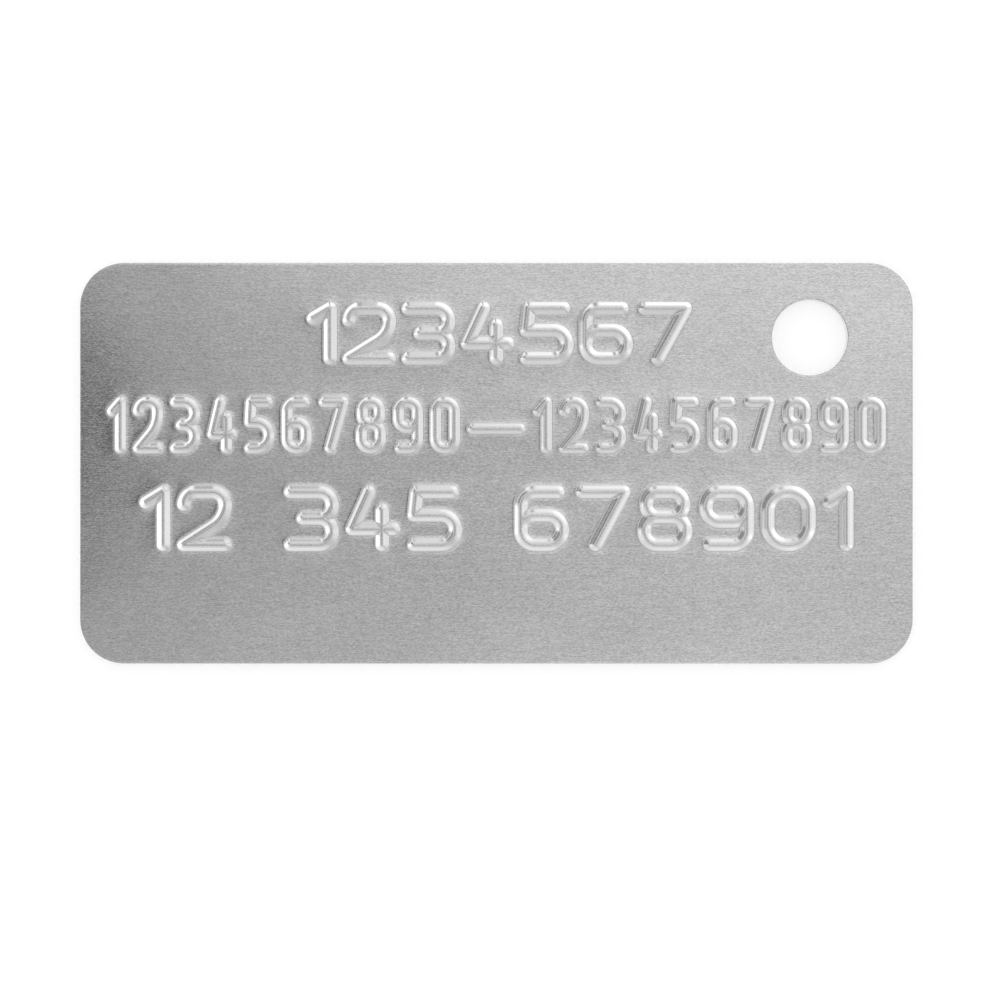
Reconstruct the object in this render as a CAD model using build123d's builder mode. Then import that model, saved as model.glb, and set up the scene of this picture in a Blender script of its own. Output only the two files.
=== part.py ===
from build123d import *
import os
from math import radians, tan

# Ground code tag: one flat sheet, blanked with a hanging hole and pressed from
# behind so that three rows of raised figures stand on its front.
# The back lies on Z = 0, the front faces +Z and the rows run along +X.

# the blank
tag_length = 79.4
tag_width = 38.25
sheet_thickness = 0.64
corner_radius = 4.25
edge_break = 0.12  # the die turns the front edges down a little as it cuts

# the hanging hole, for a quarter-inch screw
hole_diameter = 7.1
hole_to_end = 9.85
hole_to_top_edge = 7.15

# the pressed strokes: a narrow crest between two sloping flanks
flank_angle = 35.0  # degrees above the sheet
crest_width = 0.15
groove_floor_width = 0.12
large_stroke = 1.34
small_stroke = 1.12

# the rows: figure heights are taken between the centre lines of the strokes
top_row_margin = 3.7
line_gap = 2.93
top_figure_height = 4.75
middle_figure_height = 4.4
bottom_figure_height = 5.04
top_row_length = 36.75
top_row_to_hole = 7.65
middle_row_margin = 2.6
bottom_row_margin = 5.7

# the width of a full figure between its centre lines, and the least space between two
top_figure_width = 3.84
middle_figure_width = 1.81
bottom_figure_width = 3.93
least_figure_gap = 0.4

# what stands in each row, and how wide a narrow or wide character is beside a full figure
top_text = "1234567"
middle_text = "1234567890-1234567890"
bottom_text = "12 345 678901"
width_shares = {"1": 0.42, "-": 2.5, " ": 0.6}

# the drawing of the figures, as shares of their width or height
bowl_bend = 0.28
bowl_height = 0.56
tail_reach = 0.9
flag_drop = 0.2
hook_drop = 0.2
shoulder_bend = 0.2
three_waist = 0.3
four_peak = 0.4
four_bar = 0.3
four_stem = 0.72
four_stem_top = 0.66
five_top_left = 0.06
five_top_right = 0.92
seven_foot = 0.32
eight_waist = 0.53
eight_top_width = 0.9
dash_height = 0.42
end_cut = 0.29  # of a stroke's width, which ends it in half an octagon


def run(*points, bends):
    """A centre line of straight runs: each inner corner is cut off by its own length."""
    points = [Vector(point) for point in points]
    path = [points[0]]
    for before, corner, after, bend in zip(points, points[1:], points[2:], bends):
        path += [corner + (side - corner).normalized() * bend for side in (before, after)]
    return path + [points[-1]]


def ring(width, height, centre):
    """The centre lines of the two halves of a bowl, which meet at its top and foot."""
    y = height / 2
    bend = bowl_bend * min(width, height)
    halves = []
    for x in (width / 2, -width / 2):
        half = run((0, -y), (x, -y), (x, y), (0, y), bends=[bend, bend])
        halves.append([point + Vector(centre) for point in half])
    return halves


def one(w, h):
    """A stem with a slanting flag."""
    return [[(0, (1 - flag_drop) * h), (w, h)], [(w, h), (w, 0)]]


def two(w, h):
    """A hook that slants down to a straight base."""
    bend = bowl_bend * min(w, h / 2)
    hook_start = h - bend - hook_drop * h / 2
    shoulder = shoulder_bend * h
    hook = run(
        (0, hook_start), (0, h), (w, h), (w, h / 2), (0, 0),
        bends=[bend, bend, shoulder],
    )
    return [hook, [(0, 0), (w, 0)]]


def three(w, h):
    """Two bowls, open to the left, that meet at the waist."""
    bend = bowl_bend * h / 2
    waist = (three_waist * w, h / 2)
    return [run((0, h), (w, h), (w, h / 2), waist, bends=[bend, bend]),
            run(waist, (w, h / 2), (w, 0), (0, 0), bends=[bend, bend])]


def four(w, h):
    """An open four: a slant, a bar and a short stem that crosses it."""
    bar = four_bar * h
    stem = four_stem * w
    return [[(four_peak * w, h), (0, bar)], [(0, bar), (w, bar)], [(stem, four_stem_top * h), (stem, 0)]]


def five(w, h):
    """A top bar, a short neck and a bowl that is open to the left."""
    bowl = bowl_height * h
    bend = bowl_bend * bowl
    neck_top = (five_top_left * w, h)
    return [[(five_top_right * w, h), neck_top], [neck_top, (0, bowl)],
            run((0, bowl), (w, bowl), (w, 0), (0, 0), bends=[bend, bend])]


def six(w, h):
    """A bowl at the foot, with a tail that rises from its left side."""
    bowl = bowl_height * h
    bend = bowl_bend * min(w, bowl)
    tail = run((tail_reach * w, h), (0, h), (0, bowl / 2), bends=[bend])
    return ring(w, bowl, (w / 2, bowl / 2)) + [tail]


def seven(w, h):
    """A top bar and a slanting leg."""
    return [[(0, h), (w, h)], [(w, h), (seven_foot * w, 0)]]


def eight(w, h):
    """Two bowls, the upper one narrower."""
    waist = eight_waist * h
    top = ring(eight_top_width * w, h - waist, (w / 2, (h + waist) / 2))
    return ring(w, waist, (w / 2, waist / 2)) + top


def nine(w, h):
    """A bowl at the top, with a tail that falls from its right side."""
    bowl = bowl_height * h
    bend = bowl_bend * min(w, bowl)
    tail = run(((1 - tail_reach) * w, 0), (w, 0), (w, h - bowl / 2), bends=[bend])
    return ring(w, bowl, (w / 2, h - bowl / 2)) + [tail]


def zero(w, h):
    """One bowl of full height."""
    return ring(w, h, (w / 2, h / 2))


def dash(w, h):
    """A level bar."""
    return [[(0, dash_height * h), (w, dash_height * h)]]


def space(w, h):
    """A place with no stroke."""
    return []


drawings = {
    "1": one, "2": two, "3": three, "4": four, "5": five,
    "6": six, "7": seven, "8": eight, "9": nine, "0": zero, "-": dash,
    " ": space,
}


def side_of_stroke(path, width):
    """The right edge of a stroke: half of each cut end, and a mitre beside each bend."""
    half = width / 2
    short = half - end_cut * width
    ways = [(end - start).normalized() for start, end in zip(path, path[1:])]
    across = [Vector(way.Y, -way.X) for way in ways]
    mitres = [
        corner + (before + after) * half / (1 + before.dot(after))
        for corner, before, after in zip(path[1:], across, across[1:])
    ]
    start = [path[0] - ways[0] * back + across[0] * side for back, side in ((half, short), (short, half))]
    end = [path[-1] + ways[-1] * on + across[-1] * side for on, side in ((short, half), (half, short))]
    return start + mitres + end


def sloping_stroke(path, width, crest, level):
    """A solid along one centre line, with flat flanks that slope from its foot to its crest."""
    rise = (width - crest) / 2 * tan(radians(flank_angle))
    foot, top = (
        [Vector(0, 0, height) + point
         for way in (path, path[::-1])
         for point in side_of_stroke(way, size)]
        for size, height in ((width, level), (crest, level + rise))
    )
    flanks = zip(foot, foot[1:] + foot[:1], top[1:] + top[:1], top)
    return Solid(Shell([Face(Wire.make_polygon(corners)) for corners in [foot, top, *flanks]]))


def figure_row(text, corner, length, figure_width, figure_height, stroke):
    """The centre lines of as many characters as the row holds, spread out to fill it."""
    widths = [figure_width * width_shares.get(name, 1) for name in text]
    while sum(widths) + len(widths) * (stroke + least_figure_gap) > length + least_figure_gap:
        widths.pop()
    gap = (length - sum(widths) - len(widths) * stroke) / (len(widths) - 1)
    origin = Vector(corner) + Vector(stroke / 2, stroke / 2)
    paths = []
    for name, width in zip(text, widths):
        for path in drawings[name](width, figure_height):
            paths.append([origin + Vector(point) for point in path])
        origin += Vector(width + stroke + gap, 0)
    return paths


def press_row(text, corner, length, figure_width, figure_height, stroke):
    """Raise one row on the front, and sink its grooves in the back to keep the wall even."""
    paths = figure_row(text, corner, length, figure_width, figure_height, stroke)
    groove = stroke - 2 * sheet_thickness * tan(radians(flank_angle / 2))
    add([sloping_stroke(path, stroke, crest_width, sheet_thickness) for path in paths])
    add([sloping_stroke(path, groove, groove_floor_width, 0) for path in paths], mode=Mode.SUBTRACT)


# the left end and the foot of each row, from the tag's centre
hole_centre = (tag_length / 2 - hole_to_end, tag_width / 2 - hole_to_top_edge)
top_row_left = hole_centre[0] - hole_diameter / 2 - top_row_to_hole - top_row_length
top_row_foot = tag_width / 2 - top_row_margin - top_figure_height - large_stroke
middle_row_left = -tag_length / 2 + middle_row_margin
middle_row_foot = top_row_foot - line_gap - middle_figure_height - small_stroke
bottom_row_left = -tag_length / 2 + bottom_row_margin
bottom_row_foot = middle_row_foot - line_gap - bottom_figure_height - large_stroke

with BuildPart() as ground_tag:
    with BuildSketch():
        RectangleRounded(tag_length, tag_width, corner_radius)
        with Locations(hole_centre):
            Circle(hole_diameter / 2, mode=Mode.SUBTRACT)
    extrude(amount=sheet_thickness)
    chamfer(ground_tag.faces().sort_by(Axis.Z)[-1].edges(), edge_break)
    press_row(
        top_text, (top_row_left, top_row_foot), top_row_length,
        top_figure_width, top_figure_height, large_stroke,
    )
    press_row(
        middle_text, (middle_row_left, middle_row_foot), tag_length - 2 * middle_row_margin,
        middle_figure_width, middle_figure_height, small_stroke,
    )
    press_row(
        bottom_text, (bottom_row_left, bottom_row_foot), tag_length - 2 * bottom_row_margin,
        bottom_figure_width, bottom_figure_height, large_stroke,
    )

os.makedirs("parts", exist_ok=True)
ground_tag.part.label = "ground_tag"
export_step(ground_tag.part, "parts/ground_tag.step")
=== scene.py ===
import math

import bmesh
import bpy
import numpy as np
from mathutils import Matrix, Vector, geometry


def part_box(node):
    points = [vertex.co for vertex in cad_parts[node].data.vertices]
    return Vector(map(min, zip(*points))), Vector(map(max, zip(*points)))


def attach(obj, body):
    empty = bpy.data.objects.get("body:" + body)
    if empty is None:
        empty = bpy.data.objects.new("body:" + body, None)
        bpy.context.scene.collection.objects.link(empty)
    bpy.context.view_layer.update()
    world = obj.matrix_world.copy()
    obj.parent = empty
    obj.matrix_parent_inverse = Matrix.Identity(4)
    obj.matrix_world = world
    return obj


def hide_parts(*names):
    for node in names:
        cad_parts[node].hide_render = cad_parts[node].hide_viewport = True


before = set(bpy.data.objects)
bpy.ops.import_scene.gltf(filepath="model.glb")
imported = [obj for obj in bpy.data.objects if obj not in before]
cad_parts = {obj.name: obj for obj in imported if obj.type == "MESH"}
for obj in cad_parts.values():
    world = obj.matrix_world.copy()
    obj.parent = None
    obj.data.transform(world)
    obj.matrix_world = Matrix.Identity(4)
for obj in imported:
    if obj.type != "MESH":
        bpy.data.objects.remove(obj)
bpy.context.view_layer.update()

# Lengths are in millimetres, in the part's own frame, until a mesh or a light is made from them.
MM = 0.001

tag_low, tag_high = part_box("ground_tag")
tag_length = (tag_high.x - tag_low.x) / MM
tag_width = (tag_high.y - tag_low.y) / MM

# the blank
sheet_thickness = 0.64
corner_radius = 4.25
hole_diameter = 7.1
hole_to_end = 9.85
hole_to_top_edge = 7.15
hole_centre = (tag_length / 2 - hole_to_end, tag_width / 2 - hole_to_top_edge)

# the pressed strokes
flank_angle = math.radians(35)
crest_width = 0.15
groove_floor_width = 0.12
large_stroke = 1.34
small_stroke = 1.12
groove_cut = 2 * sheet_thickness * math.tan(flank_angle / 2)

# how gently a stroke leaves the sheet and turns over its crest
foot_softness = 0.09
crest_softness = 0.1
flank_bulge = 0.06
groove_foot_softness = 0.06
groove_floor_softness = 0.04
draw_in_height = 0.018
draw_in_reach = 0.45

# how far the rolled sheet is from dead flat, and the waves that it has:
# strength, radians per millimetre along X and along Y, and start
waviness = 0.012
sheet_waves = [
    (1.0, 0.37, 0.21, 0.6),
    (0.8, 0.16, -0.49, 2.1),
    (0.7, 0.71, 0.33, 4.0),
    (0.6, -0.28, 0.83, 1.3),
]
flat_level = sheet_thickness - waviness

# the front edge is turned down as the die cuts: insets from the outline and drops
front_rim_drops = [(0.0, 0.11), (0.012, 0.06), (0.04, 0.025), (0.08, 0.006), (0.13, 0.0), (0.3, 0.0)]
front_rim = [(inset, flat_level - drop) for inset, drop in front_rim_drops]
back_rim = [(0.02, 0.0), (0.06, 0.0), (0.3, 0.0)]

# the cut edge from top to bottom: heights, insets, and how far the line wanders up and down
shear_bands = [(0.42, 0.0, 0.0), (0.30, 0.003, 0.02), (0.24, 0.02, 0.02), (0.03, 0.02, 0.004)]
wander_turns = (2.3, 0.7)  # radians from one point of the edge to the next

# the rows
line_gap = 2.93
top_figure_size = (3.84, 4.75)
middle_figure_size = (1.81, 4.4)
bottom_figure_size = (3.93, 5.04)
top_row_margin = 3.7
top_row_length = 36.75
top_row_to_hole = 7.65
middle_row_margin = 2.6
bottom_row_margin = 5.7
width_shares = {"1": 0.42, "-": 2.5, " ": 0.6}

# the drawing of the figures, as shares of their width or height
bowl_round = 0.478
bowl_height = 0.56
tail_reach = 0.9
flag_drop = 0.2
shoulder_round = 0.68
three_waist = 0.3
four_peak = 0.4
four_bar = 0.3
four_stem = 0.72
four_stem_top = 0.66
five_top_left = 0.06
five_top_right = 0.92
seven_foot = 0.32
eight_waist = 0.53
eight_top_width = 0.9
dash_height = 0.42

# how closely distances and sections are worked out
grid_step = 0.05
field_reach = 1.7
walking_step = 0.03
arc_step = 0.07
section_reach = 3
section_steps = 3000

# where the mesh has lines of points along a stroke: near its centre, beside its foot and farther out
crest_lines = (0.045, 0.09)
floor_line = 0.045
foot_line = 0.03
front_sheet_lines = (0.25, 0.55)
back_sheet_line = 0.35

# a pocket between strokes that is narrower than this takes no line farther out than the second value
least_pocket = 0.12
pocket_line = 0.3

# how closely the mesh follows the strokes, the edges and the flat sheet
front_spacing = 0.24
back_spacing = 0.3
contour_turn = math.radians(17)
corner_steps = 20
edge_spacing = 0.5
hole_steps = 96
sheet_spacing = 1.0
sheet_to_rim = 0.5
sheet_to_stroke = 0.3
least_edge = 0.006  # shorter edges are closed up
crease_angle = math.radians(50)  # edges that turn more stay crisp


# ---- centre lines of the figures ----

def bent_line(points, radii=()):
    """A centre line of straight runs with a true arc at each inner corner."""
    points = [Vector(point) for point in points]
    line = [points[0]]
    used = 0.0
    for before, corner, after, radius in zip(points, points[1:], points[2:], radii):
        come = (corner - before).normalized()
        leave = (after - corner).normalized()
        turn = come.angle(leave)
        room = min((corner - before).length - used, (after - corner).length)
        used = min(radius * math.tan(turn / 2), room)
        radius = used / math.tan(turn / 2)
        side = Vector((-come.y, come.x))
        if side.dot(leave) < 0:
            side.negate()
        steps = max(2, math.ceil(radius * turn / arc_step))
        for step in range(steps + 1):
            angle = turn * step / steps
            line.append(corner - come * used + side * radius * (1 - math.cos(angle))
                        + come * radius * math.sin(angle))
    return line + [points[-1]]


def ring(width, height, centre):
    """A closed bowl, drawn in two halves that meet at its top and foot."""
    y = height / 2
    radius = bowl_round * min(width, height)
    halves = []
    for x in (width / 2, -width / 2):
        half = bent_line([(0, -y), (x, -y), (x, y), (0, y)], [radius, radius])
        halves.append([point + Vector(centre) for point in half])
    return halves


def one(w, h):
    """A stem with a slanting flag."""
    return [bent_line([(0, (1 - flag_drop) * h), (w, h)]), bent_line([(w, h), (w, 0)])]


def two(w, h):
    """A hook that slants down to a straight base."""
    radius = bowl_round * min(w, h / 2)
    hook = bent_line(
        [(0, h - radius), (0, h), (w, h), (w, h / 2), (0, 0)],
        [radius, radius, shoulder_round * h],
    )
    return [hook, bent_line([(0, 0), (w, 0)])]


def three(w, h):
    """Two bowls, open to the left, that meet at the waist."""
    radius = bowl_round * h / 2
    waist = (three_waist * w, h / 2)
    return [bent_line([(0, h), (w, h), (w, h / 2), waist], [radius, radius]),
            bent_line([waist, (w, h / 2), (w, 0), (0, 0)], [radius, radius])]


def four(w, h):
    """An open four: a slant, a bar and a short stem that crosses it."""
    bar = four_bar * h
    stem = four_stem * w
    return [bent_line([(four_peak * w, h), (0, bar)]), bent_line([(0, bar), (w, bar)]),
            bent_line([(stem, four_stem_top * h), (stem, 0)])]


def five(w, h):
    """A top bar, a short neck and a bowl that is open to the left."""
    bowl = bowl_height * h
    radius = bowl_round * bowl
    neck_top = (five_top_left * w, h)
    return [bent_line([(five_top_right * w, h), neck_top]), bent_line([neck_top, (0, bowl)]),
            bent_line([(0, bowl), (w, bowl), (w, 0), (0, 0)], [radius, radius])]


def six(w, h):
    """A bowl at the foot, with a tail that rises from its left side."""
    bowl = bowl_height * h
    radius = bowl_round * min(w, bowl)
    tail = bent_line([(tail_reach * w, h), (0, h), (0, bowl / 2)], [radius])
    return ring(w, bowl, (w / 2, bowl / 2)) + [tail]


def seven(w, h):
    """A top bar and a slanting leg."""
    return [bent_line([(0, h), (w, h)]), bent_line([(w, h), (seven_foot * w, 0)])]


def eight(w, h):
    """Two bowls, the upper one narrower."""
    waist = eight_waist * h
    top = ring(eight_top_width * w, h - waist, (w / 2, (h + waist) / 2))
    return ring(w, waist, (w / 2, waist / 2)) + top


def nine(w, h):
    """A bowl at the top, with a tail that falls from its right side."""
    bowl = bowl_height * h
    radius = bowl_round * min(w, bowl)
    tail = bent_line([((1 - tail_reach) * w, 0), (w, 0), (w, h - bowl / 2)], [radius])
    return ring(w, bowl, (w / 2, h - bowl / 2)) + [tail]


def zero(w, h):
    """One bowl of full height."""
    return ring(w, h, (w / 2, h / 2))


def dash(w, h):
    """A level bar."""
    return [bent_line([(0, dash_height * h), (w, dash_height * h)])]


def space(w, h):
    """A place with no stroke."""
    return []


drawings = {
    "1": one, "2": two, "3": three, "4": four, "5": five,
    "6": six, "7": seven, "8": eight, "9": nine, "0": zero, "-": dash,
    " ": space,
}


def row_runs(text, corner, length, figure_size, stroke):
    """The short straight runs of a row's centre lines, as their starts and their ends."""
    widths = [figure_size[0] * width_shares.get(name, 1) for name in text]
    gap = (length - sum(widths) - len(widths) * stroke) / (len(widths) - 1)
    origin = Vector(corner) + Vector((stroke / 2, stroke / 2))
    starts, ends = [], []
    for name, width in zip(text, widths):
        for line in drawings[name](width, figure_size[1]):
            placed = [origin + point for point in line]
            starts += placed[:-1]
            ends += placed[1:]
        origin = origin + Vector((width + stroke + gap, 0))
    return np.array(starts), np.array(ends)


# ---- distance from the centre lines, and the lines of equal distance round them ----

def nearest_on_runs(points, starts, ends):
    """For each point, the nearest point of the centre lines."""
    ways = ends - starts
    lengths = np.maximum((ways ** 2).sum(1), 1e-12)
    found = np.empty_like(points)
    batch = 2000
    for low in range(0, len(points), batch):
        some = points[low:low + batch]
        share = np.clip(((some[:, None] - starts) * ways).sum(2) / lengths, 0, 1)
        feet = starts + share[..., None] * ways
        best = ((some[:, None] - feet) ** 2).sum(2).argmin(1)
        found[low:low + batch] = feet[np.arange(len(some)), best]
    return found


def distance_from_runs(points, starts, ends):
    """For each point, how far the centre lines are."""
    return np.hypot(*(points - nearest_on_runs(points, starts, ends)).T)


def distance_grid(starts, ends):
    """Distances from a row's centre lines on a regular grid, and the grid's lowest corner."""
    low = np.minimum(starts, ends).min(0) - field_reach
    high = np.maximum(starts, ends).max(0) + field_reach
    count = np.ceil((high - low) / grid_step).astype(int) + 1
    columns = low[0] + grid_step * np.arange(count[0])
    rows = low[1] + grid_step * np.arange(count[1])
    field = np.full(count, field_reach)
    band = 60
    for left in range(0, count[0], band):
        x = columns[left:left + band]
        near = (np.minimum(starts, ends)[:, 0] < x[-1] + field_reach) \
            & (np.maximum(starts, ends)[:, 0] > x[0] - field_reach)
        if near.any():
            points = np.stack(np.meshgrid(x, rows, indexing="ij"), -1).reshape(-1, 2)
            away = distance_from_runs(points, starts[near], ends[near])
            field[left:left + band] = np.minimum(away, field_reach).reshape(len(x), len(rows))
    return field, low


def contour_loops(field, low, level):
    """Closed lines where the distance is the level, followed from cell to cell of the grid."""
    inside = field < level
    tall = field.shape[1]
    cross_x = inside[:-1] != inside[1:]
    cross_y = inside[:, :-1] != inside[:, 1:]
    sides = np.stack([cross_x[:, :-1], cross_y[1:], cross_x[:, 1:], cross_y[:-1]], -1)
    links = {}
    for i, j in np.argwhere(sides.any(-1)):
        cell = i * tall + j
        names = [cell * 2, (cell + tall) * 2 + 1, (cell + 1) * 2, cell * 2 + 1]
        cut = [name for name, crossed in zip(names, sides[i, j]) if crossed]
        if len(cut) == 4 and not inside[i, j]:
            cut = cut[1:] + cut[:1]
        for a, b in zip(cut[::2], cut[1::2]):
            links.setdefault(a, []).append(b)
            links.setdefault(b, []).append(a)
    loops = []
    while links:
        here = next(iter(links))
        chain = []
        while here is not None:
            chain.append(here)
            here = next((name for name in links.pop(here) if name in links), None)
        cells, upright = np.divmod(np.array(chain), 2)
        i, j = np.divmod(cells, tall)
        near = field[i, j]
        far = field[i + 1 - upright, j + upright]
        share = (level - near) / (far - near)
        loops.append(low + grid_step * np.stack([i + share * (1 - upright), j + share * upright], 1))
    return loops


def even_loop(loop, spacing, turn=None):
    """A closed line with its points evenly spaced, and closer together where it turns."""
    closed = np.vstack([loop, loop[:1]])
    steps = np.diff(closed, axis=0)
    cost = np.hypot(*steps.T) / spacing
    if turn:
        ways = np.arctan2(steps[:, 1], steps[:, 0])
        turns = np.abs((np.roll(ways, -1) - ways + math.pi) % (2 * math.pi) - math.pi)
        spread = (np.roll(turns, 2) + np.roll(turns, -1)) / 6 + (np.roll(turns, 1) + turns) / 3
        cost = np.maximum(cost, spread / turn)
    along = np.concatenate([[0], np.cumsum(cost)])
    count = max(6, round(along[-1]))
    marks = np.arange(count) * along[-1] / count
    return np.stack([np.interp(marks, along, closed[:, k]) for k in (0, 1)], 1)


def stroke_contours(runs, grid, level, spacing):
    """The lines that lie exactly at a level, with points spaced for a clean mesh."""
    starts, ends = runs
    loops = []
    for loop in contour_loops(*grid, level):
        ahead = np.roll(loop, -1, axis=0)
        area = abs((loop[:, 0] * ahead[:, 1] - loop[:, 1] * ahead[:, 0]).sum()) / 2
        length = np.hypot(*(ahead - loop).T).sum()
        if level > pocket_line and area < least_pocket / 2 * length:
            continue
        reach = level + 2 * grid_step
        near = np.all((np.minimum(starts, ends) < loop.max(0) + reach)
                      & (np.maximum(starts, ends) > loop.min(0) - reach), axis=1)
        for step, turn in ((walking_step, None), (spacing, contour_turn)):
            loop = even_loop(loop, step, turn)
            feet = nearest_on_runs(loop, starts[near], ends[near])
            away = np.hypot(*(loop - feet).T)[:, None]
            loop = feet + (loop - feet) * level / np.maximum(away, 1e-6)
        loops.append(loop)
    return loops


# ---- the section across a stroke ----

def ramp(values, low, high):
    """0 below the lower value, 1 above the higher one and even between them."""
    return np.clip((values - low) / (high - low), 0, 1)


def stroke_section(width, flat, foot_soft, flat_soft, bulge=0.0, drawn=0.0, spare=0.0):
    """Height against distance from the centre line: a soft flat, a flank that steepens a little
    towards its soft foot, and the sheet drawn in beyond it. The whole is lowered by what is
    spare for waviness."""
    across = np.linspace(0, section_reach, section_steps + 1)
    half, top = width / 2, flat / 2
    slope = math.tan(flank_angle) * (ramp(across, top - flat_soft, top + flat_soft)
                                     - ramp(across, half - foot_soft, half + foot_soft))
    slope = slope * (1 + bulge * (2 * (across - top) / (half - top) - 1))
    rise = slope.sum() * (across[1] - across[0])
    tail = drawn / draw_in_reach * np.exp(-(across - half) / draw_in_reach)
    slope = slope * (rise - drawn - spare) / rise + np.where(across > half, tail, 0)
    climb = np.cumsum((slope[1:] + slope[:-1]) / 2 * np.diff(across))
    return across, climb[-1] - np.concatenate([[0], climb])


def front_levels(stroke):
    """Distances from the centre lines at which the front has lines of points."""
    half, top = stroke / 2, crest_width / 2
    return [*crest_lines, top + crest_softness, (half + top) / 2,
            half - foot_softness, half - foot_line, half + foot_line, half + foot_softness,
            *(half + away for away in front_sheet_lines)]


def back_levels(stroke):
    """Distances from the centre lines at which the back has lines of points."""
    half, top = (stroke - groove_cut) / 2, groove_floor_width / 2
    return [floor_line, top + groove_floor_softness, (half + top) / 2,
            half - groove_foot_softness, half, half + groove_foot_softness, half + back_sheet_line]


# ---- the outlines ----

def tag_outline(inset):
    """The tag's outline drawn in by an inset, with the same count of points at any inset."""
    radius = corner_radius - inset
    x, y = tag_length / 2 - corner_radius, tag_width / 2 - corner_radius
    centres = [Vector((x, y)), Vector((-x, y)), Vector((-x, -y)), Vector((x, -y))]
    points = []
    for quarter, (centre, following) in enumerate(zip(centres, centres[1:] + centres[:1])):
        for step in range(corner_steps + 1):
            angle = math.pi / 2 * (quarter + step / corner_steps)
            points.append(centre + radius * Vector((math.cos(angle), math.sin(angle))))
        last = points[-1]
        count = round((following - centre).length / edge_spacing)
        points += [last + (following - centre) * step / count for step in range(1, count)]
    return np.array(points)


def hole_outline(inset):
    """The hole's outline, run the other way round and widened by an inset."""
    angles = -np.arange(hole_steps) * 2 * math.pi / hole_steps
    return hole_centre + (hole_diameter / 2 + inset) * np.stack([np.cos(angles), np.sin(angles)], 1)


def waves(points):
    """How high the rolled sheet lifts, from 0 to the waviness."""
    x, y = points[:, 0], points[:, 1]
    sway = sum(strength * np.sin(along * x + across * y + start)
               for strength, along, across, start in sheet_waves)
    most = sum(strength for strength, *_ in sheet_waves)
    return waviness * (0.5 + sway / (2 * most))


# ---- one face of the sheet ----

def open_sheet_points(inset, grids, reaches):
    """Evenly spread points for the flat sheet, clear of its edges and of the strokes."""
    x = np.arange(-tag_length / 2 + inset, tag_length / 2 - inset, sheet_spacing)
    y = np.arange(-tag_width / 2 + inset, tag_width / 2 - inset, sheet_spacing * math.sqrt(3) / 2)
    spread = np.stack(np.meshgrid(x, y, indexing="ij"), -1)
    spread[:, 1::2, 0] += sheet_spacing / 2
    spread = spread.reshape(-1, 2)
    straight = np.array([tag_length, tag_width]) / 2 - corner_radius
    keep = np.hypot(*np.maximum(np.abs(spread) - straight, 0).T) < corner_radius - inset
    keep &= np.hypot(*(spread - hole_centre).T) > hole_diameter / 2 + inset
    for (field, low), reach in zip(grids, reaches):
        cell = np.round((spread - low) / grid_step).astype(int)
        within = np.all((cell >= 0) & (cell < field.shape), axis=1)
        cell = np.clip(cell, 0, np.array(field.shape) - 1)
        keep &= ~within | (field[cell[:, 0], cell[:, 1]] > reach)
    return spread[keep]


def sheet_face(level_sets, sections, rim, level, spacing):
    """Points, triangles and rim loops of one face, whose flat lies at a level.
    The rim is a list of insets from the outline with their heights."""
    loops = [(outline(inset), height) for outline in (tag_outline, hole_outline)
             for inset, height in rim]
    for runs, grid, levels, section in zip(row_lines, row_grids, level_sets, sections):
        for away in levels:
            height = level + np.interp(away, *section)
            loops += [(loop, height) for loop in stroke_contours(runs, grid, away, spacing)]
    sheet = open_sheet_points(rim[-1][0] + sheet_to_rim, row_grids,
                              [levels[-1] + sheet_to_stroke for levels in level_sets])
    edges = []
    first = 0
    for loop, _ in loops:
        around = first + np.arange(len(loop))
        edges += np.stack([around, np.roll(around, -1)], 1).tolist()
        first += len(loop)
    plan = np.vstack([loop for loop, _ in loops] + [sheet])
    heights = np.concatenate([np.full(len(loop), height) for loop, height in loops]
                             + [np.full(len(sheet), level)])
    corners, _, triangles, sources, _, _ = geometry.delaunay_2d_cdt(
        [Vector(point) for point in plan], edges, [], 0, 1e-7, True)
    corners = np.array(corners)
    triangles = np.array(triangles)
    source = np.array([came[0] if came else -1 for came in sources])
    height = heights[source]
    for index in np.flatnonzero(source < 0):  # a point that the triangulation added
        away = [distance_from_runs(corners[index:index + 1], *runs)[0] for runs in row_lines]
        row = int(np.argmin(away))
        height[index] = level + np.interp(away[row], *sections[row])
    from_hole = np.hypot(*(corners[triangles].mean(1) - hole_centre).T)
    triangles = triangles[from_hole > hole_diameter / 2 + rim[0][0] - 1e-3]
    place = {came: index for index, came in enumerate(source)}
    tag_count = len(loops[0][0])
    tag_rim = [place[k] for k in range(tag_count)]
    hole_rim = [place[tag_count * len(rim) + k] for k in range(hole_steps)]
    points = np.column_stack([corners, height + waves(corners)])
    return points, triangles, (tag_rim, hole_rim)


# ---- the tag ----

def place_rows():
    """Each row's text, lower left corner, length, figure size and stroke."""
    top_foot = tag_width / 2 - top_row_margin - top_figure_size[1] - large_stroke
    middle_foot = top_foot - line_gap - middle_figure_size[1] - small_stroke
    bottom_foot = middle_foot - line_gap - bottom_figure_size[1] - large_stroke
    top_left = hole_centre[0] - hole_diameter / 2 - top_row_to_hole - top_row_length
    left = -tag_length / 2
    return [
        ("1234567", (top_left, top_foot), top_row_length, top_figure_size, large_stroke),
        ("1234567890-1234567890", (left + middle_row_margin, middle_foot),
         tag_length - 2 * middle_row_margin, middle_figure_size, small_stroke),
        ("12 345 678901", (left + bottom_row_margin, bottom_foot),
         tag_length - 2 * bottom_row_margin, bottom_figure_size, large_stroke),
    ]


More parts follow.
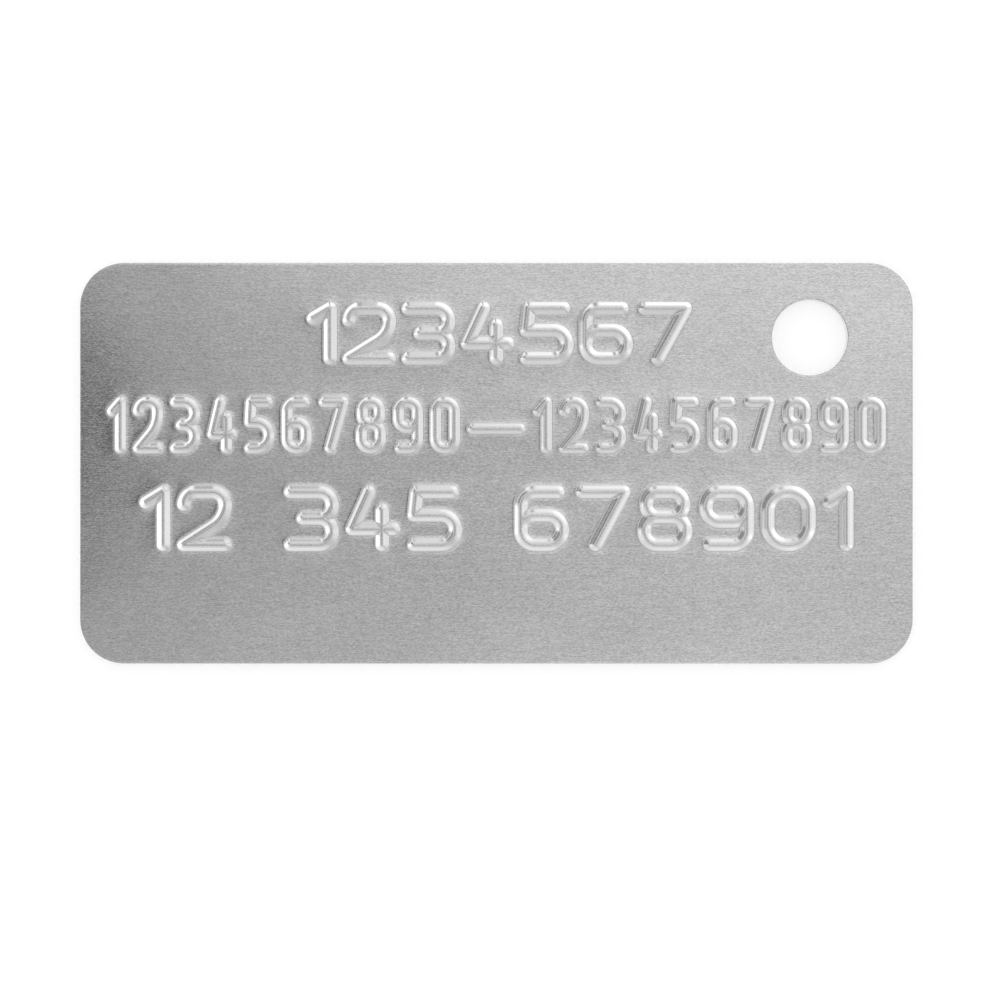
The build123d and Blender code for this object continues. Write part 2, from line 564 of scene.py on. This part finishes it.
def sheared_walls(front, back, front_rims, back_rims):
    """The cut edge between the two faces: a smooth band above, a torn and slightly sunk one below."""
    points, faces = [], []
    first = len(front) + len(back)
    fast, slow = wander_turns
    for outline, top_ring, bottom_ring in zip((tag_outline, hole_outline), front_rims, back_rims):
        rings = [top_ring]
        count = len(top_ring)
        for height, inset, tear in shear_bands:
            ring_points = outline(inset)
            wander = tear * np.sin(fast * np.arange(count)) * np.sin(slow * np.arange(count) + 1)
            rings.append([first + len(points) + k for k in range(count)])
            lift = waves(ring_points)
            points += np.column_stack([ring_points, height + wander + lift]).tolist()
        rings.append([len(front) + k for k in bottom_ring])
        for upper, lower in zip(rings, rings[1:]):
            faces += [(upper[k], lower[k], lower[(k + 1) % count], upper[(k + 1) % count])
                      for k in range(count)]
    return points, faces


def press_tag():
    """The whole tag as one closed mesh, with its cut edge in a finish of its own."""
    strokes = [row[-1] for row in place_rows()]
    front_sections = [stroke_section(stroke, crest_width, foot_softness, crest_softness,
                                     flank_bulge, draw_in_height, waviness) for stroke in strokes]
    back_sections = [stroke_section(stroke - groove_cut, groove_floor_width, groove_foot_softness,
                                    groove_floor_softness) for stroke in strokes]
    front, front_faces, front_rims = sheet_face(
        [front_levels(stroke) for stroke in strokes], front_sections, front_rim,
        flat_level, front_spacing)
    back, back_faces, back_rims = sheet_face(
        [back_levels(stroke) for stroke in strokes], back_sections, back_rim, 0.0, back_spacing)
    wall_points, walls = sheared_walls(front, back, front_rims, back_rims)
    points = np.vstack([front, back, wall_points])
    faces = front_faces.tolist() + (back_faces[:, ::-1] + len(front)).tolist() + walls
    mesh = bpy.data.meshes.new("pressed_tag")
    mesh.from_pydata((points * MM).tolist(), [], faces)
    mesh.polygons.foreach_set("material_index", [0] * (len(faces) - len(walls)) + [1] * len(walls))
    mesh.validate()
    slivers = bmesh.new()
    slivers.from_mesh(mesh)
    bmesh.ops.remove_doubles(slivers, verts=slivers.verts, dist=least_edge * MM)
    slivers.to_mesh(mesh)
    slivers.free()
    mesh.update()
    mesh.shade_smooth()
    mesh.set_sharp_from_angle(angle=crease_angle)
    tag = bpy.data.objects.new("pressed_tag", mesh)
    bpy.context.scene.collection.objects.link(tag)
    return tag


row_lines = [row_runs(*row) for row in place_rows()]
row_grids = [distance_grid(*runs) for runs in row_lines]
tag = press_tag()
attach(tag, "root")
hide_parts("ground_tag")


# ---- finishes ----

class Nodes:
    """Adds and joins shader nodes in one tree."""

    def __init__(self, tree):
        self.tree = tree

    def add(self, kind, settings=None, **sockets):
        node = self.tree.nodes.new(kind)
        for name, value in (settings or {}).items():
            setattr(node, name, value)
        for name, value in sockets.items():
            self.feed(node.inputs[name.replace("_", " ")], value)
        return node

    def feed(self, socket, value):
        if isinstance(value, bpy.types.NodeSocket):
            self.tree.links.new(value, socket)
        else:
            socket.default_value = value

    def math(self, operation, *values, clamp=False):
        node = self.add("ShaderNodeMath", {"operation": operation, "use_clamp": clamp})
        for socket, value in zip(node.inputs, values):
            self.feed(socket, value)
        return node.outputs[0]

    def vector(self, operation, *values):
        node = self.add("ShaderNodeVectorMath", {"operation": operation})
        for socket, value in zip(node.inputs, values):
            self.feed(socket, value)
        return node.outputs["Value" if operation == "DOT_PRODUCT" else "Vector"]

    def span(self, value, low, high, start=0.0, end=1.0, smooth=False):
        """The value carried from one span to another, and kept inside it."""
        kind = "SMOOTHSTEP" if smooth else "LINEAR"
        node = self.add("ShaderNodeMapRange", {"interpolation_type": kind},
                        Value=value, From_Min=low, From_Max=high, To_Min=start, To_Max=end)
        return node.outputs["Result"]


def new_group(name, inputs, outputs):
    """An empty shader node group with named sockets, and its node builder."""
    tree = bpy.data.node_groups.new(name, "ShaderNodeTree")
    for label, kind, default in inputs:
        socket = tree.interface.new_socket(label, in_out="INPUT", socket_type=kind)
        if default is not None:
            socket.default_value = default
    for label, kind in outputs:
        tree.interface.new_socket(label, in_out="OUTPUT", socket_type=kind)
    nodes = Nodes(tree)
    return tree, nodes, nodes.add("NodeGroupInput").outputs, nodes.add("NodeGroupOutput").inputs


def rolled_grain_group():
    """Streaks left by the mill's rolls, short and fine with a few longer ones, about zero."""
    tree, nodes, given, result = new_group(
        "rolled_grain",
        [("Position", "NodeSocketVector", None), ("Streak Length", "NodeSocketFloat", 0.4),
         ("Streak Width", "NodeSocketFloat", 0.1), ("Long Streaks", "NodeSocketFloat", 0.4)],
        [("Grain", "NodeSocketFloat")],
    )
    parts = nodes.add("ShaderNodeSeparateXYZ", Vector=given["Position"]).outputs
    along = nodes.math("DIVIDE", parts["X"], given["Streak Length"])
    across = nodes.math("DIVIDE", parts["Y"], given["Streak Width"])
    layers = []
    for stretch, offset in ((1.0, 0.0), (0.13, 31.0)):
        place = nodes.add("ShaderNodeCombineXYZ", X=nodes.math("MULTIPLY", along, stretch),
                          Y=nodes.math("ADD", across, offset), Z=parts["Z"])
        noise = nodes.add("ShaderNodeTexNoise", Vector=place.outputs[0],
                          Scale=1.0, Detail=1.5, Roughness=0.55)
        layers.append(nodes.math("SUBTRACT", noise.outputs["Fac"], 0.5))
    long_part = nodes.math("MULTIPLY", layers[1], given["Long Streaks"])
    nodes.feed(result["Grain"], nodes.math("ADD", layers[0], long_part))
    return tree


def handling_marks_group():
    """Sparse hairline scratches, from 0 to 1."""
    tree, nodes, given, result = new_group(
        "handling_marks",
        [("Position", "NodeSocketVector", None), ("Spacing", "NodeSocketFloat", 6.0),
         ("Amount", "NodeSocketFloat", 0.5)],
        [("Scratches", "NodeSocketFloat")],
    )
    marks = None
    for angle, offset in scratch_ways:
        turned = nodes.add("ShaderNodeVectorRotate", {"rotation_type": "Z_AXIS"},
                           Vector=given["Position"], Angle=angle).outputs[0]
        place = nodes.vector("ADD", turned, (offset, offset, 0.0))
        scaled = nodes.vector("DIVIDE", place, nodes.add(
            "ShaderNodeCombineXYZ", X=nodes.math("MULTIPLY", given["Spacing"], 4.0),
            Y=given["Spacing"], Z=1.0).outputs[0])
        lines = nodes.add("ShaderNodeTexNoise", Vector=scaled, Scale=1.0, Detail=0.0).outputs["Fac"]
        hair = nodes.math("ABSOLUTE", nodes.math("SUBTRACT", lines, 0.5))
        hair = nodes.span(hair, 0.0, hair_width, 1.0, 0.0)
        patch = nodes.add("ShaderNodeTexNoise", Vector=place, Scale=0.11, Detail=1.0).outputs["Fac"]
        hair = nodes.math("MULTIPLY", hair, nodes.span(patch, *scratched_patches))
        marks = hair if marks is None else nodes.math("MAXIMUM", marks, hair)
    nodes.feed(result["Scratches"], nodes.math("MULTIPLY", marks, given["Amount"]))
    return tree


def metal_finish(name):
    """A new metal material: its nodes, its shader and its position in millimetres."""
    material = bpy.data.materials.new(name)
    material.use_nodes = True
    nodes = Nodes(material.node_tree)
    shader = material.node_tree.nodes["Principled BSDF"]
    shader.inputs["Metallic"].default_value = 1.0
    place = nodes.add("ShaderNodeTexCoord").outputs["Object"]
    millimetres = nodes.vector("MULTIPLY", place, (1 / MM, 1 / MM, 1 / MM))
    return material, nodes, shader, millimetres


def mill_finish_sheet(grain_group, marks_group):
    """Rolled aluminium: streaked along its length, with a painted sheen that lightens the pressed
    flanks of the strokes.
    """
    material, nodes, shader, place = metal_finish("mill_finish_sheet")
    grain = nodes.add("ShaderNodeGroup", {"node_tree": grain_group}, Position=place,
                      Streak_Length=grain_length, Streak_Width=grain_width,
                      Long_Streaks=long_streaks).outputs["Grain"]
    marks = nodes.add("ShaderNodeGroup", {"node_tree": marks_group}, Position=place,
                      Spacing=scratch_spacing, Amount=scratch_amount).outputs["Scratches"]
    normal = nodes.add("ShaderNodeNewGeometry").outputs["Normal"]
    level = nodes.math("ABSOLUTE", nodes.add("ShaderNodeSeparateXYZ", Vector=normal).outputs["Z"])
    pressed = nodes.span(level, level_normal, flank_normal, smooth=True)
    cloud = nodes.add("ShaderNodeTexNoise", Vector=nodes.vector("MULTIPLY", place, cloud_turns),
                      Scale=1.0, Detail=2.0).outputs["Fac"]
    tone = nodes.span(cloud, 0.3, 0.7, -cloud_tone, cloud_tone)
    speckle = nodes.math("MULTIPLY", grain, nodes.span(pressed, 0, 1, grain_contrast, pressed_grain))
    shade = nodes.math("ADD", nodes.math("ADD", sheet_tone, tone), speckle)
    shade = nodes.math("ADD", shade, nodes.math("MULTIPLY", marks, scratch_tone))
    # painted sheen: the sloping flanks are lightened in colour to stand in for the brighter light they
    # reflect
    painted_flank_sheen = nodes.math("MULTIPLY", pressed, flank_sheen_paint_tone - sheet_tone)
    shade = nodes.math("ADD", shade, painted_flank_sheen, clamp=True)
    colour = nodes.add("ShaderNodeCombineColor", Red=shade, Green=shade,
                       Blue=nodes.math("MULTIPLY", shade, blue_cast))
    nodes.feed(shader.inputs["Base Color"], colour.outputs[0])
    rough = nodes.math("ADD", sheet_roughness, nodes.math("MULTIPLY", grain, grain_roughness))
    scuff = nodes.math("MULTIPLY", pressed, pressed_roughness - sheet_roughness)
    nodes.feed(shader.inputs["Roughness"], nodes.math("ADD", rough, scuff, clamp=True))
    relief = nodes.math("MULTIPLY", grain, nodes.span(pressed, 0, 1, 1.0, pressed_relief))
    bump = nodes.add("ShaderNodeBump", Strength=1.0, Distance=grain_depth * MM, Height=relief)
    nodes.feed(shader.inputs["Normal"], bump.outputs["Normal"])
    return material


def sheared_edge(grain_group):
    """The cut edge: brighter metal, torn in short upright lines."""
    material, nodes, shader, place = metal_finish("sheared_edge")
    parts = nodes.add("ShaderNodeSeparateXYZ", Vector=place).outputs
    around = nodes.math("ADD", parts["X"], parts["Y"])
    turned = nodes.add("ShaderNodeCombineXYZ", X=parts["Z"], Y=around).outputs[0]
    grain = nodes.add("ShaderNodeGroup", {"node_tree": grain_group}, Position=turned,
                      Streak_Length=tear_length, Streak_Width=tear_width,
                      Long_Streaks=long_tears).outputs["Grain"]
    shade = nodes.math("ADD", edge_tone, nodes.math("MULTIPLY", grain, edge_contrast), clamp=True)
    nodes.feed(shader.inputs["Base Color"], nodes.add(
        "ShaderNodeCombineColor", Red=shade, Green=shade, Blue=shade).outputs[0])
    rough = nodes.math("ADD", edge_roughness, nodes.math("MULTIPLY", grain, tear_roughness))
    nodes.feed(shader.inputs["Roughness"], rough)
    bump = nodes.add("ShaderNodeBump", Strength=1.0, Distance=tear_depth * MM, Height=grain)
    nodes.feed(shader.inputs["Normal"], bump.outputs["Normal"])
    return material


# the rolled sheet, and where the die pressed it, whose lighter tone is a painted sheen
sheet_tone = 0.73
# the lighter tone of the flanks is a painted sheen
flank_sheen_paint_tone = 0.83
sheet_roughness = 0.125
pressed_roughness = 0.15
blue_cast = 1.004

# the upright part of the surface's direction where it still counts as level, and on a pressed flank
level_normal = 0.985
flank_normal = 0.87

# the grain: its size in millimetres and how much it shows, also on the pressed strokes
grain_length = 0.25
grain_width = 0.085
long_streaks = 0.32
grain_contrast = 0.78
grain_roughness = 0.12
grain_depth = 0.003
pressed_grain = 0.12
pressed_relief = 0.1

# faint clouds in the tone, and hairline scratches
cloud_turns = (0.06, 0.11, 0.1)
cloud_tone = 0.03
scratch_spacing = 5.0
scratch_amount = 0.35
scratch_tone = 0.08
scratch_ways = ((0.35, 0.0), (-0.9, 17.0), (1.9, 43.0))  # angles, and offsets that keep them apart
hair_width = 0.004
scratched_patches = (0.55, 0.68)  # the noise from which scratches begin to show, and show in full

# the cut edge
edge_tone = 0.68
edge_contrast = 0.3
edge_roughness = 0.38
tear_length = 0.35
tear_width = 0.05
long_tears = 0.2
tear_roughness = 0.2
tear_depth = 0.01

grain_group = rolled_grain_group()
marks_group = handling_marks_group()
tag.data.materials.append(mill_finish_sheet(grain_group, marks_group))
tag.data.materials.append(sheared_edge(grain_group))


# ---- floor, studio and camera ----

def white_floor():
    """A plain white floor that keeps the tag's shadow, and is white to the camera and in the metal."""
    mesh = bpy.data.meshes.new("floor")
    sides = (-floor_reach, floor_reach)
    mesh.from_pydata([(x, y, 0) for x in sides for y in sides], [], [(0, 2, 3, 1)])
    floor = bpy.data.objects.new("floor", mesh)
    bpy.context.scene.collection.objects.link(floor)
    material = bpy.data.materials.new("white_floor")
    material.use_nodes = True
    nodes = Nodes(material.node_tree)
    shader = material.node_tree.nodes["Principled BSDF"]
    shader.inputs["Base Color"].default_value = (floor_tone, floor_tone, floor_tone, 1)
    shader.inputs["Roughness"].default_value = 0.9
    shader.inputs["Specular IOR Level"].default_value = 0.0
    path = nodes.add("ShaderNodeLightPath").outputs
    seen = nodes.math("MAXIMUM", path["Is Camera Ray"], path["Is Glossy Ray"])
    shader.inputs["Emission Color"].default_value = (1, 1, 1, 1)
    nodes.feed(shader.inputs["Emission Strength"], nodes.math("MULTIPLY", seen, floor_glow))
    mesh.materials.append(material)
    return floor


def studio_world():
    """Soft light from all round: dim overhead, brighter towards the walls and the table."""
    world = bpy.data.worlds.new("studio")
    bpy.context.scene.world = world
    world.use_nodes = True
    nodes = Nodes(world.node_tree)
    way = nodes.add("ShaderNodeTexCoord").outputs["Generated"]
    height = nodes.add("ShaderNodeSeparateXYZ", Vector=way).outputs["Z"]
    upper = nodes.span(height, *overhead_heights, overhead_light, upper_light, smooth=True)
    lower = nodes.span(height, *lower_heights, 0, lower_light - upper_light, smooth=True)
    light = nodes.math("ADD", upper, lower)
    for (azimuth, elevation), inner, outer, strength in studio_patches:
        a, e = math.radians(azimuth), math.radians(elevation)
        toward = (math.cos(a) * math.cos(e), math.sin(a) * math.cos(e), math.sin(e))
        near = nodes.vector("DOT_PRODUCT", way, toward)
        rim, core = (math.cos(math.radians(radius)) for radius in (outer, inner))
        patch = nodes.span(near, rim, core, smooth=True)
        factor = nodes.math("ADD", 1.0, nodes.math("MULTIPLY", patch, strength - 1))
        light = nodes.math("MULTIPLY", light, factor)
    background = world.node_tree.nodes["Background"]
    background.inputs["Color"].default_value = (1, 1, 1, 1)
    nodes.feed(background.inputs["Strength"], light)


def look_down():
    """The camera straight above, framed so that the tag takes its place in the picture."""
    data = bpy.data.cameras.new("camera")
    data.lens = lens_length
    data.sensor_width = sensor_width
    data.clip_start = 0.01
    camera = bpy.data.objects.new("camera", data)
    bpy.context.scene.collection.objects.link(camera)
    bpy.context.scene.camera = camera
    picture_width = tag_length * picture_pixels / tag_pixels
    height = picture_width * lens_length / sensor_width + sheet_thickness
    camera.location = Vector((*picture_centre, height)) * MM


# the floor, in metres
floor_reach = 1.5
floor_tone = 0.82
floor_glow = 0.4

# the studio's light: overhead, round the upper walls and low down, and the sines of the
# elevations between which each fades into the next
overhead_light = 0.45
upper_light = 0.785
lower_light = 1.85
overhead_heights = (0.97, 0.6)
lower_heights = (0.55, 0.12)

# what else the metal reflects, as soft round patches: azimuth from +X and elevation in degrees,
# the radii within which a patch is full and beyond which it is gone, and how it multiplies the light
dark_rail = [((azimuth, 30), 2, 9, 0.45) for azimuth in range(124, 173, 8)]
studio_patches = [
    ((70, 70), 13, 21, 1.8), ((-40, 68), 8, 22, 1.4), ((270, 76), 8, 15, 1.35),  # soft lamps overhead
    ((172, 78.5), 0.7, 3.9, 0.01),  # a small dark patch, seen in the left end
    ((99, 20), 1.5, 10, 0.32), ((185, 36), 2, 9, 0.6), *dark_rail,  # darker behind and to the left
    ((50, 22), 6, 26, 1.15), ((181, 23), 5, 13, 1.3), ((0, 36), 4, 11, 1.22),  # brighter to the sides
    ((0, 8), 5, 24, 0.67), ((315, 12), 8, 30, 0.75),  # dimmer low down and in front
    ((225, 15), 4, 20, 0.85), ((280, 20), 15, 60, 0.85),
]

# the camera: lens and sensor in millimetres, the tag's length in the picture's pixels,
# and the point on the tag that the picture is centred on
lens_length = 90
sensor_width = 36
picture_pixels = 1000
tag_pixels = 834
picture_centre = (0.35, -3.5)

white_floor()
studio_world()
look_down()
bpy.context.scene.view_settings.view_transform = "Standard"
